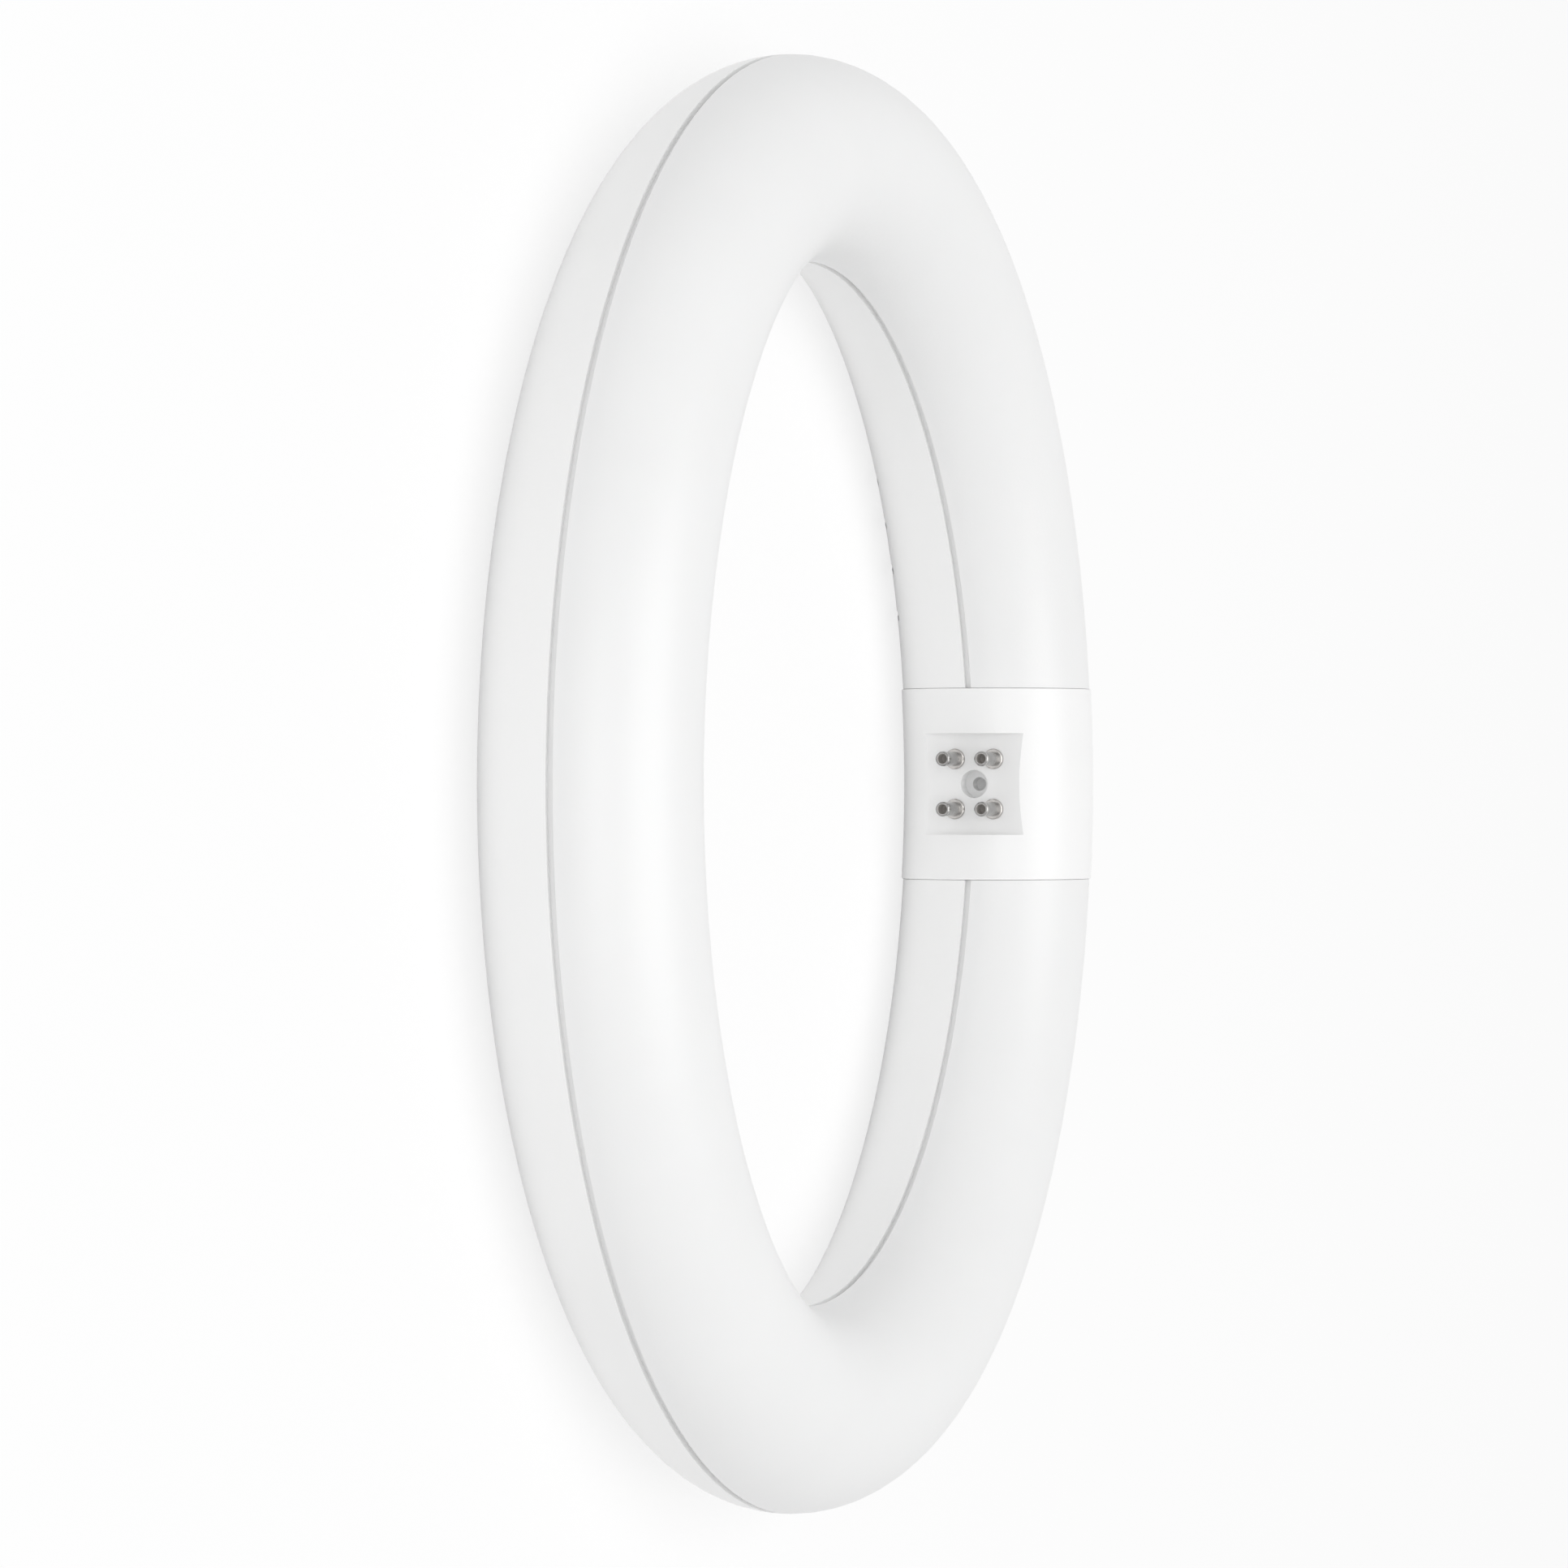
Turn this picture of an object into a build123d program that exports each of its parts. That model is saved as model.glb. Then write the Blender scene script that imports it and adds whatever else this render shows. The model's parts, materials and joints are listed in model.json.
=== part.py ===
from build123d import *
from math import asin, cos, degrees, radians, sin, sqrt, tan
import os

os.makedirs("parts", exist_ok=True)

# A circular LED tube, lying with its lit face up. Millimetres, with the origin at the centre of
# the ring, +Z out of the lit face and +X towards the cap.

# Ring and tube
ring_diameter = 211.0
tube_diameter = 29.7
tube_radius = tube_diameter / 2
ring_radius = ring_diameter / 2 - tube_radius  # to the middle line of the tube

# Shells, with the open seam between them
housing_wall = 1.5
diffuser_wall = 1.3
seam_width = 1.0
seam_depth = 0.9
tongue_wall = 0.9
tongue_height = 2.4  # above the middle plane
tongue_root = 2.2  # below the middle plane
snap_proud = 0.25
snap_height = 1.5
shell_clearance = 0.1
butt_clearance = 0.05

# Cap sleeve and its contact face
sleeve_step = 0.25  # proud of the tube
sleeve_wall = 1.5
sleeve_rounding = 0.2  # round its two ends
spigot_wall = 1.2
spigot_length = 4.5
spigot_gap = 1.0
shoulder_length = 2.9
contact_length = 16.0
contact_sink = 1.97  # below the sleeve's surface
contact_plate = 2.0
end_wall = 1.6

# Contact pins and the stepped hole between them
pin_pitch_along = 7.92
pin_pitch_across = 6.35
pin_length = 6.6
pin_radius = 1.1
pin_bore_radius = 0.8
pin_bore_depth = 2.6  # to the edge of its drill point
pin_rim_radius = 1.0
pin_flange_radius = 1.6
pin_flange_height = 0.4  # proud of the contact face
pin_flange_rounding = 0.22
pin_seat_depth = 0.1
pin_seat_clearance = 0.05
pin_bead_proud = 0.08
pin_bead_length = 0.7
pin_neck_sink = 0.07
pin_neck_length = 0.5
pin_tail = 1.5  # past the boss
pin_collar = 0.35  # proud of the tail and long
pin_cup_spare = 0.4  # past the end of the strand
pin_cup_clearance = 0.15
pin_clearance = 0.05
drill_angle = 118.0  # between the two sides of a drill's point
pin_boss_wall = 1.3
step_radius = 2.225
step_depth = 2.8
hole_radius = 1.075
hole_depth = 5.0
hole_floor = 1.0
hole_boss_wall = 1.2

# Vent slots and the shallow pocket, as distances along the middle line of the tube from +X
vent_count = 4
vent_start = 29.1
vent_pitch = 8.46
vent_width = 1.25
vent_length = 14.4
pocket_start = 232.6
pocket_length = 10.0
pocket_width = 14.0
pocket_sink = 0.25

# LED board, its packages and its screws
led_board_thickness = 1.0
board_edge_clearance = 0.65
board_end_gap = 0.6
led_length = 3.5
led_width = 2.8
led_height = 0.7
led_pitch = 5.55
led_end_margin = 1.2
board_boss_count = 8
board_boss_start = 22.5
board_boss_radius = 2.2
board_boss_margin = 2.8  # from the board's outer edge
screw_hole_clearance = 0.2
board_screw_radius = 0.95
board_screw_length = 6.5
board_screw_head_radius = 2.0
board_screw_head_height = 1.4
pilot_clearance = 0.05
pilot_spare = 0.5

# Driver board, its posts and its screws
driver_board_thickness = 1.2
driver_post_height = 2.35
driver_post_radius = 2.0
driver_boss_gap = 0.8
driver_screw_radius = 0.75
driver_screw_length = 3.6
driver_screw_head_radius = 1.7
driver_screw_head_height = 1.1
film_thickness = 0.25
film_margin = 0.4
film_clearance = 0.3
part_gap = 1.2
board_margin = 3.0

# Driver parts: along the ring, across it and up, where not named otherwise
fuse_body_length = 6.3
fuse_body_radius = 1.2
fuse_cap_radius = 1.35
fuse_cap_length = 1.3
fuse_wire_radius = 0.3
fuse_wire_reach = 1.2
rectifier_size = (3.9, 4.7, 1.5)
rectifier_lead = (0.65, 1.0, 0.25)
rectifier_lead_pitch = 2.5
rectifier_lead_count = 2  # on each side, as below
film_capacitor_size = (4.5, 7.2, 6.2)
film_capacitor_rounding = 0.5
choke_radius = 3.0
choke_height = 6.0
choke_flange = 1.0
choke_winding_radius = 2.7
capacitor_radius = 3.15
capacitor_groove_sink = 0.3
capacitor_groove_width = 0.5
capacitor_groove_place = 1.4
capacitor_wire_radius = 0.3
capacitor_wire_pitch = 2.5
capacitor_wire_reach = 1.2
bulk_capacitor_length = 11.0
output_capacitor_length = 8.0
chip_size = (4.9, 3.9, 1.5)
chip_lead = (0.4, 1.0, 0.2)
chip_lead_pitch = 1.27
chip_lead_count = 4
core_size = (11.0, 10.2, 4.4)
core_outer_leg = 1.25
core_back = 1.3
core_centre_leg = 2.45
bobbin_height = 6.6
bobbin_wall = 0.4
bobbin_flange = 0.5
bobbin_clearance = 0.1
winding_sink = 0.3  # below the flanges' edges
diode_size = (2.6, 4.3, 2.1)
diode_lead = (1.5, 0.9, 0.25)
diode_lead_pitch = 0
diode_lead_count = 1
body_taper = 5.0

# Leads
lead_radius = 0.6
lead_bend_share = 0.45  # of the shorter run beside a bend
strand_radius = 0.4
strand_length = 3.0
lead_pad_pitch = 3.0
lead_hole_clearance = 0.4
lead_gap = 0.3  # behind a pin's tail
lead_first_turn = 3.0
lead_turn_step = 1.5
lead_bend_place = 13.0  # past the middle of the cap
lead_drop_low = 6.5
lead_drop_high = 3.5
lead_stand = 3.8  # straight up from a pad
output_lead_across = 3.0
output_lead_climb = 4.2
output_lead_stand = 1.6
output_lead_reach = 3.5

# Sizes that follow
span = 4 * tube_radius  # wider than the tube, for cutting it
housing_bore = tube_radius - housing_wall
diffuser_bore = tube_radius - diffuser_wall
tongue_outer = tube_radius - seam_depth
tongue_inner = tongue_outer - tongue_wall
rim_bore = tongue_outer + shell_clearance
sleeve_radius = tube_radius + sleeve_step
sleeve_bore = sleeve_radius - sleeve_wall
spigot_radius = sleeve_bore - shell_clearance
spigot_bore = spigot_radius - spigot_wall
sleeve_half = contact_length / 2 + end_wall + spigot_gap + spigot_length
shoulder_end = sleeve_half + shoulder_length
contact_x = ring_radius - sleeve_radius + contact_sink
boss_height = hole_depth + hole_floor - contact_plate
boss_back = contact_plate + boss_height

capacitor_diameter = 2 * capacitor_radius
tallest_part = max(film_capacitor_size[2], choke_height, capacitor_diameter, bobbin_height)
driver_board_bottom = driver_post_height - housing_bore
driver_board_top = driver_board_bottom + driver_board_thickness
film_bottom = driver_board_top + tallest_part + film_clearance
led_board_bottom = film_bottom + film_thickness
led_board_top = led_board_bottom + led_board_thickness
led_board_half = min(sqrt(housing_bore**2 - led_board_bottom**2), tongue_inner) - board_edge_clearance
board_boss_offset = led_board_half - board_boss_margin
driver_half = board_boss_offset - board_boss_radius - driver_boss_gap
film_half = driver_half + film_margin
board_end = shoulder_end + board_end_gap
pilot_radius = board_screw_radius + pilot_clearance
driver_pilot_radius = driver_screw_radius + pilot_clearance
board_screw_depth = board_screw_length - led_board_thickness
driver_screw_depth = driver_screw_length - driver_board_thickness

driver_start = degrees(asin(board_end / (ring_radius - driver_half)))
led_start = degrees(asin(board_end / ring_radius) + (led_width / 2 + led_end_margin) / ring_radius)
led_count = int((360 - 2 * led_start) / degrees(led_pitch / ring_radius)) + 1

# Places of the driver parts along its board, each beside the one before
input_pad_place = board_margin
fuse_place = input_pad_place + lead_radius + part_gap + fuse_cap_radius
first_screw_place = vent_start + vent_pitch / 2 - radians(driver_start) * ring_radius
rectifier_place = first_screw_place + driver_screw_head_radius + part_gap + rectifier_size[0] / 2
film_capacitor_place = rectifier_place + (rectifier_size[0] + film_capacitor_size[0]) / 2 + part_gap
choke_place = film_capacitor_place + film_capacitor_size[0] / 2 + part_gap + choke_radius
bulk_capacitor_place = (
    choke_place + choke_radius + part_gap + capacitor_wire_reach + bulk_capacitor_length / 2
)
chip_place = bulk_capacitor_place + bulk_capacitor_length / 2 + part_gap + chip_size[0] / 2
inductor_place = chip_place + (chip_size[0] + core_size[0]) / 2 + part_gap
diode_place = inductor_place + (core_size[0] + diode_size[0]) / 2 + part_gap
output_capacitor_place = (
    diode_place + diode_size[0] / 2 + part_gap + capacitor_wire_reach + output_capacitor_length / 2
)
second_screw_place = (
    output_capacitor_place + output_capacitor_length / 2 + part_gap + driver_screw_head_radius
)
output_pad_place = second_screw_place + driver_screw_head_radius + part_gap + lead_radius
driver_length = output_pad_place + board_margin
lead_hole_place = driver_length + board_margin


def angle_along(distance):
    """Angle round the ring, in degrees, of a distance along its middle line."""
    return degrees(distance / ring_radius)


def driver_angle(place):
    """Angle round the ring of a place on the driver board."""
    return driver_start + angle_along(place)


def ring_point(angle, across, height):
    """Point at an angle round the ring, off the tube's middle line."""
    reach = ring_radius + across
    return Vector(reach * cos(radians(angle)), reach * sin(radians(angle)), height)


def outwards(angle):
    """Direction away from the ring's axis at an angle round the ring."""
    return Vector(cos(radians(angle)), sin(radians(angle)), 0)


def onwards(angle):
    """Direction along the ring at an angle round it."""
    return Vector(-sin(radians(angle)), cos(radians(angle)), 0)


def flat_on_board(place, height=0.0):
    """Plane over the driver board: X outwards, Y along the board and Z up."""
    angle = driver_angle(place)
    return Plane(ring_point(angle, 0, driver_board_top + height), outwards(angle), (0, 0, 1))


def lying_along(place, height):
    """Plane for a part that lies along the driver board: Z back towards its start and Y up."""
    angle = driver_angle(place)
    return Plane(ring_point(angle, 0, driver_board_top + height), outwards(angle), -onwards(angle))


def lying_across(place, height):
    """Plane for a part that lies across the driver board: Z outwards and Y up."""
    angle = driver_angle(place)
    return Plane(ring_point(angle, 0, driver_board_top + height), onwards(angle), outwards(angle))


def cap_end(outer, inner, near, far, bottom, top):
    """Band of the tube's wall on both sides of the cap, between two distances from its middle."""
    with BuildPart() as end:
        with BuildSketch(Plane.XZ):
            with Locations((ring_radius, 0)):
                Circle(outer)
                Circle(inner, mode=Mode.SUBTRACT)
            with Locations((ring_radius, (bottom + top) / 2)):
                Rectangle(span, top - bottom, mode=Mode.INTERSECT)
        revolve(axis=Axis.Z)
        with Locations((ring_radius, (near + far) / 2, 0)):
            Box(span, far - near, span, mode=Mode.INTERSECT)
        mirror(about=Plane.XZ)
    return end.part


def pan_screw(shank_radius, length, head_radius, head_height):
    """Pan head screw that points down, with the underside of its head on the origin."""
    with BuildPart() as screw:
        with BuildSketch(Plane.XZ):
            with BuildLine():
                Polyline(
                    (0, head_height),
                    (0, -length),
                    (shank_radius, shank_radius - length),
                    (shank_radius, 0),
                    (head_radius, 0),
                    (head_radius, head_height / 2),
                )
                TangentArc((0, head_height), (head_radius, head_height / 2), tangent=(1, 0))
            make_face()
        revolve(axis=Axis.Z)
    return screw.part


def lead(points, stripped=0.0):
    """Round lead along straight runs and arcs as large as they allow, with a stripped start."""
    runs = [after - before for before, after in zip(points, points[1:])]
    radii = []
    for before, after in zip(runs, runs[1:]):
        half_turn = radians(before.get_angle(after)) / 2
        radii.append(lead_bend_share * min(before.length, after.length) / tan(half_turn))
    with BuildPart() as wire:
        with BuildLine():
            FilletPolyline(*points, radius=radii)
        with BuildSketch(Plane(points[0], z_dir=runs[0])):
            Circle(lead_radius)
        sweep()
        if stripped:
            with BuildSketch(Plane(points[0], z_dir=-runs[0])):
                Circle(strand_radius)
            extrude(amount=stripped)
    return wire.part


def wire_leg(offset, start, reach, drop, radius):
    """Leg of a lying part: out of its end along Z, then down to the board."""
    with BuildPart() as leg:
        with BuildLine():
            FilletPolyline(
                (offset, 0, start),
                (offset, 0, start + reach - radius),
                (offset, -drop, start + reach - radius),
                radius=2 * radius,
            )
        with BuildSketch(Plane((offset, 0, start), z_dir=(0, 0, 1))):
            Circle(radius)
        sweep()
    return leg.part


def can_capacitor(length):
    """Can capacitor lying along Z, with a rolled groove and two legs at its upper end."""
    legs = [
        wire_leg(offset, length / 2, capacitor_wire_reach, capacitor_radius, capacitor_wire_radius)
        for offset in (-capacitor_wire_pitch / 2, capacitor_wire_pitch / 2)
    ]
    groove = length / 2 - capacitor_groove_place
    with BuildPart() as can:
        with BuildSketch(Plane.XZ):
            Rectangle(capacitor_radius, length, align=(Align.MIN, Align.CENTER))
            with Locations((capacitor_radius, groove)):
                Rectangle(
                    2 * capacitor_groove_sink, capacitor_groove_width, mode=Mode.SUBTRACT
                )
        revolve(axis=Axis.Z)
        add(legs)
    return can.part


def moulded_package(body, foot, foot_pitch, foot_count):
    """Moulded package on the origin, with bent feet along its two long sides."""
    along, across, height = body
    width, reach, thickness = foot
    middle = height / 2
    edge = across / 2
    bend = edge + reach / 2
    with BuildPart() as package:
        with BuildSketch(Plane.XY.offset(middle)):
            Rectangle(across, along)
        extrude(amount=middle, taper=body_taper)
        with BuildSketch(Plane.XY.offset(middle)):
            Rectangle(across, along)
        extrude(amount=thickness - middle, taper=body_taper)
        for number in range(foot_count):
            row_place = (number - (foot_count - 1) / 2) * foot_pitch
            with BuildSketch(Plane.XZ.offset(row_place)):
                with BuildLine():
                    Polyline(
                        (edge - thickness, middle + thickness / 2),
                        (bend, middle + thickness / 2),
                        (bend, thickness),
                        (edge + reach, thickness),
                        (edge + reach, 0),
                        (bend - thickness, 0),
                        (bend - thickness, middle - thickness / 2),
                        (edge - thickness, middle - thickness / 2),
                        close=True,
                    )
                make_face()
            extrude(amount=width / 2, both=True)
        mirror(about=Plane.YZ)
    return package.part


def arc_plate(half_width, start_place, end_place, bottom, thickness):
    """Curved strip along the driver's stretch of the ring."""
    start = driver_angle(start_place)
    sweep_angle = driver_angle(end_place) - start
    with BuildPart() as plate:
        with BuildSketch(Plane.XY.offset(bottom)):
            with BuildLine():
                outer = CenterArc((0, 0), ring_radius + half_width, start, sweep_angle)
                inner = CenterArc((0, 0), ring_radius - half_width, start, sweep_angle)
                Line(outer @ 0, inner @ 0)
                Line(outer @ 1, inner @ 1)
            make_face()
        extrude(amount=thickness)
    return plate.part


# Bosses for the LED board and posts for the driver board, cut to the inside of the wall
post_angles = [driver_angle(first_screw_place), driver_angle(second_screw_place)]
with BuildPart() as rear_bosses:
    with BuildSketch(Plane.XY.offset(led_board_bottom)):
        with PolarLocations(ring_radius + board_boss_offset, board_boss_count, board_boss_start):
            Circle(board_boss_radius)
    extrude(amount=-tube_radius)
    with BuildSketch(Plane.XY.offset(driver_board_bottom)):
        with Locations(*[ring_point(angle, 0, 0) for angle in post_angles]):
            Circle(driver_post_radius)
    extrude(amount=-tube_radius)
    with BuildSketch(Plane.XZ):
        with Locations((ring_radius, 0)):
            Circle(tube_radius - housing_wall / 2)
    revolve(axis=Axis.Z, mode=Mode.INTERSECT)

# Shallow bare pocket on the rear crown, as the skin that it takes off
with BuildPart() as pocket_skin:
    with BuildSketch(Plane.XZ):
        with Locations((ring_radius, 0)):
            Circle(tube_radius + pocket_sink)
            Circle(tube_radius - pocket_sink, mode=Mode.SUBTRACT)
    revolve(axis=Axis.Z)
    with BuildSketch(Plane.XY.offset(-span)):
        with PolarLocations(ring_radius, 1, angle_along(pocket_start + pocket_length / 2)):
            Rectangle(pocket_width, pocket_length)
    extrude(amount=span, mode=Mode.INTERSECT)

# Ends of the rear housing beside the cap: a thick shoulder, then a spigot inside the sleeve
rear_top = seam_width / 2 - butt_clearance
rear_shoulder = cap_end(
    tube_radius, spigot_bore, sleeve_half + butt_clearance, shoulder_end, -tube_radius, -seam_width / 2
)
rear_lip = cap_end(
    tongue_outer, spigot_bore, sleeve_half + butt_clearance, shoulder_end, -tube_radius, rear_top
)
rear_spigot = cap_end(
    spigot_radius, spigot_bore, sleeve_half - spigot_length, shoulder_end, -tube_radius, rear_top
)

# Rear housing: the shell with its tongue, which shows as the floor of the seam
with BuildPart() as rear_housing:
    with BuildSketch(Plane.XZ):
        with Locations((ring_radius, 0)):
            Circle(tube_radius)
            Circle(housing_bore, mode=Mode.SUBTRACT)
        with Locations((ring_radius, -seam_width / 2)):
            Rectangle(span, span, align=(Align.CENTER, Align.MIN), mode=Mode.SUBTRACT)
        for side in (-1, 1):
            with Locations((ring_radius + side * (tongue_outer - tongue_wall / 2), -tongue_root)):
                Rectangle(tongue_wall, tongue_root + tongue_height, align=(Align.CENTER, Align.MIN))
            with Locations((ring_radius + side * tongue_outer, snap_height)):
                Rectangle(snap_proud * sqrt(2), snap_proud * sqrt(2), rotation=45)
    revolve(axis=Axis.Z)
    with Locations((ring_radius, 0, 0)):
        Box(span, 2 * shoulder_end, span, mode=Mode.SUBTRACT)
    add(rear_shoulder)
    add(rear_lip)
    add(rear_spigot)
    add(rear_bosses.part)
    with BuildSketch(Plane.XY.offset(led_board_bottom)):
        with PolarLocations(ring_radius + board_boss_offset, board_boss_count, board_boss_start):
            Circle(pilot_radius)
    extrude(amount=-board_screw_depth - pilot_spare, mode=Mode.SUBTRACT)
    with BuildSketch(Plane.XY.offset(driver_board_bottom)):
        with Locations(*[ring_point(angle, 0, 0) for angle in post_angles]):
            Circle(driver_pilot_radius)
    extrude(amount=-driver_screw_depth - pilot_clearance, mode=Mode.SUBTRACT)
    with BuildSketch(Plane.XY.offset(-tube_radius)):
        with PolarLocations(
            ring_radius, vent_count, angle_along(vent_start), angle_along(vent_count * vent_pitch)
        ):
            SlotOverall(vent_length, vent_width)
    extrude(amount=tube_radius + driver_board_bottom, mode=Mode.SUBTRACT)
    add(pocket_skin.part, mode=Mode.SUBTRACT)
rear_housing.part.label = "rear_housing"
export_step(rear_housing.part, "parts/rear_housing.step")

# Front diffuser: the lit shell, with a rim that snaps over the tongue
front_shoulder = cap_end(
    tube_radius, spigot_bore, sleeve_half + butt_clearance, shoulder_end, seam_width / 2, tube_radius
)
front_spigot = cap_end(
    spigot_radius, spigot_bore, sleeve_half - spigot_length, shoulder_end, seam_width / 2, tube_radius
)
with BuildPart() as front_diffuser:
    with BuildSketch(Plane.XZ):
        with Locations((ring_radius, 0)):
            Circle(tube_radius)
            Circle(diffuser_bore, mode=Mode.SUBTRACT)
        with Locations((ring_radius, seam_width / 2)):
            Rectangle(span, span, align=(Align.CENTER, Align.MAX), mode=Mode.SUBTRACT)
            Rectangle(
                2 * rim_bore,
                tongue_height + shell_clearance - seam_width / 2,
                align=(Align.CENTER, Align.MIN),
                mode=Mode.SUBTRACT,
            )
        for side in (-1, 1):
            with Locations((ring_radius + side * tongue_outer, snap_height)):
                Rectangle(
                    snap_proud * sqrt(2) + 2 * shell_clearance,
                    snap_proud * sqrt(2) + 2 * shell_clearance,
                    rotation=45,
                    mode=Mode.SUBTRACT,
                )
    revolve(axis=Axis.Z)
    with Locations((ring_radius, 0, 0)):
        Box(span, 2 * shoulder_end, span, mode=Mode.SUBTRACT)
    add(front_shoulder)
    add(front_spigot)
front_diffuser.part.label = "front_diffuser"
export_step(front_diffuser.part, "parts/front_diffuser.step")

# Cap sleeve: a short length of round sleeve with a plate and bosses for the pins inside it
contact_plane = Plane(origin=(contact_x, 0, 0), x_dir=(0, -1, 0), z_dir=(-1, 0, 0))
with BuildPart() as cap_cavity:
    with BuildSketch(Plane.XZ):
        with Locations((ring_radius, 0)):
            Circle(sleeve_bore)
    revolve(axis=Axis.Z)
    with Locations((ring_radius, 0, 0)):
        Box(span, 2 * sleeve_half + span, span, mode=Mode.INTERSECT)
    with Locations((contact_x + contact_plate, 0, 0)):
        Box(
            span,
            contact_length + 2 * end_wall,
            span,
            align=(Align.MAX, Align.CENTER, Align.CENTER),
            mode=Mode.SUBTRACT,
        )
    with BuildSketch(contact_plane):
        Circle(step_radius + hole_boss_wall)
        with GridLocations(pin_pitch_along, pin_pitch_across, 2, 2):
            Circle(pin_radius + pin_boss_wall)
    extrude(amount=-boss_back, mode=Mode.SUBTRACT)

with BuildPart() as cap_sleeve:
    with BuildSketch(Plane.XZ):
        with Locations((ring_radius, 0)):
            Circle(sleeve_radius)
    revolve(axis=Axis.Z)
    with Locations((ring_radius, 0, 0)):
        Box(span, 2 * sleeve_half, span, mode=Mode.INTERSECT)
    add(cap_cavity.part, mode=Mode.SUBTRACT)
    with Locations((contact_x, 0, 0)):
        Box(
            span,
            contact_length,
            span,
            align=(Align.MAX, Align.CENTER, Align.CENTER),
            mode=Mode.SUBTRACT,
        )
    with Locations(contact_plane):
        CounterBoreHole(hole_radius, step_radius, step_depth, hole_depth)
    with BuildSketch(contact_plane):
        with GridLocations(pin_pitch_along, pin_pitch_across, 2, 2):
            Circle(pin_radius + pin_clearance)
    extrude(amount=-boss_back, mode=Mode.SUBTRACT)
    with BuildSketch(contact_plane):
        with GridLocations(pin_pitch_along, pin_pitch_across, 2, 2):
            Circle(pin_flange_radius + pin_seat_clearance)
    extrude(amount=-pin_seat_depth, mode=Mode.SUBTRACT)
    end_faces = cap_sleeve.faces().filter_by(Axis.Y).sort_by(Axis.Y)
    fillet(end_faces[0].outer_wire().edges() + end_faces[-1].outer_wire().edges(), sleeve_rounding)
cap_sleeve.part.label = "cap_sleeve"
export_step(cap_sleeve.part, "parts/cap_sleeve.step")

# Contact pins: drilled at the tip, with a flange on the face, a collar behind the boss and a cup
# for the lead's strand in the tail
collar_front = -boss_back - pin_clearance
collar_back = collar_front - pin_collar
tail_end = collar_front - pin_tail
cup_radius = strand_radius + pin_cup_clearance
cup_floor = tail_end + strand_length - lead_gap + pin_cup_spare
bore_floor = pin_length - pin_bore_depth
drill_point = 1 / tan(radians(drill_angle / 2))  # its height for each millimetre of radius
bead_start = pin_length - pin_bead_length
bead_radius = pin_radius + pin_bead_proud
neck_radius = pin_radius - pin_neck_sink
flange_flat = pin_flange_radius - pin_flange_rounding
flange_edge = pin_flange_height - pin_flange_rounding
with BuildPart() as contact_pin:
    with BuildSketch(Plane.XZ):
        with BuildLine():
            ThreePointArc(
                (neck_radius, bead_start),
                (bead_radius, (bead_start + pin_length) / 2),
                (pin_rim_radius, pin_length),
            )
            Polyline(
                (pin_rim_radius, pin_length),
                (pin_bore_radius, pin_length),
                (pin_bore_radius, bore_floor),
                (0, bore_floor - pin_bore_radius * drill_point),
                (0, cup_floor + cup_radius * drill_point),
                (cup_radius, cup_floor),
                (cup_radius, tail_end),
                (pin_radius, tail_end),
                (pin_radius, collar_back),
                (pin_radius + pin_collar, collar_back),
                (pin_radius + pin_collar, collar_front),
                (pin_radius, collar_front),
                (pin_radius, -pin_seat_depth),
                (pin_flange_radius, -pin_seat_depth),
                (pin_flange_radius, flange_edge),
            )
            TangentArc(
                (pin_flange_radius, flange_edge), (flange_flat, pin_flange_height), tangent=(0, 1)
            )
            Polyline(
                (flange_flat, pin_flange_height),
                (pin_radius, pin_flange_height),
                (pin_radius, bead_start - pin_neck_length),
                (neck_radius, bead_start),
            )
        make_face()
    revolve(axis=Axis.Z)

pin_places = GridLocations(pin_pitch_along, pin_pitch_across, 2, 2)
for number, place in enumerate(pin_places, 1):
    with BuildPart() as placed_pin:
        with Locations(contact_plane.location * place):
            add(contact_pin.part)
    placed_pin.part.label = f"contact_pin_{number}"
    export_step(placed_pin.part, f"parts/contact_pin_{number}.step")

# LED board: one flat C, open at the cap, with holes for its screws and for the output leads
lead_hole_angle = driver_angle(lead_hole_place)
with BuildPart() as led_board:
    with BuildSketch(Plane.XY.offset(led_board_bottom)):
        Circle(ring_radius + led_board_half)
        Circle(ring_radius - led_board_half, mode=Mode.SUBTRACT)
        with Locations((ring_radius, 0)):
            Rectangle(span, 2 * board_end, mode=Mode.SUBTRACT)
        with PolarLocations(ring_radius + board_boss_offset, board_boss_count, board_boss_start):
            Circle(board_screw_radius + screw_hole_clearance, mode=Mode.SUBTRACT)
        with Locations(
            *[ring_point(lead_hole_angle, side * output_lead_across, 0) for side in (-1, 1)]
        ):
            Circle(lead_radius + lead_hole_clearance, mode=Mode.SUBTRACT)
    extrude(amount=led_board_thickness)
led_board.part.label = "led_board"
export_step(led_board.part, "parts/led_board.step")

# LED packages in one row along the middle of the board
with BuildPart() as led_packages:
    with BuildSketch(Plane.XY.offset(led_board_top)):
        with PolarLocations(ring_radius, led_count, led_start, 360 - 2 * led_start, endpoint=True):
            Rectangle(led_length, led_width)
    extrude(amount=led_height)
led_packages.part.label = "led_packages"
export_step(led_packages.part, "parts/led_packages.step")

# Screws of the LED board, into the bosses
board_screw = pan_screw(
    board_screw_radius, board_screw_length, board_screw_head_radius, board_screw_head_height
)
with BuildPart() as led_board_screws:
    with PolarLocations(ring_radius + board_boss_offset, board_boss_count, board_boss_start):
        add(board_screw.moved(Location((0, 0, led_board_top))))
led_board_screws.part.label = "led_board_screws"
export_step(led_board_screws.part, "parts/led_board_screws.step")

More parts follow.
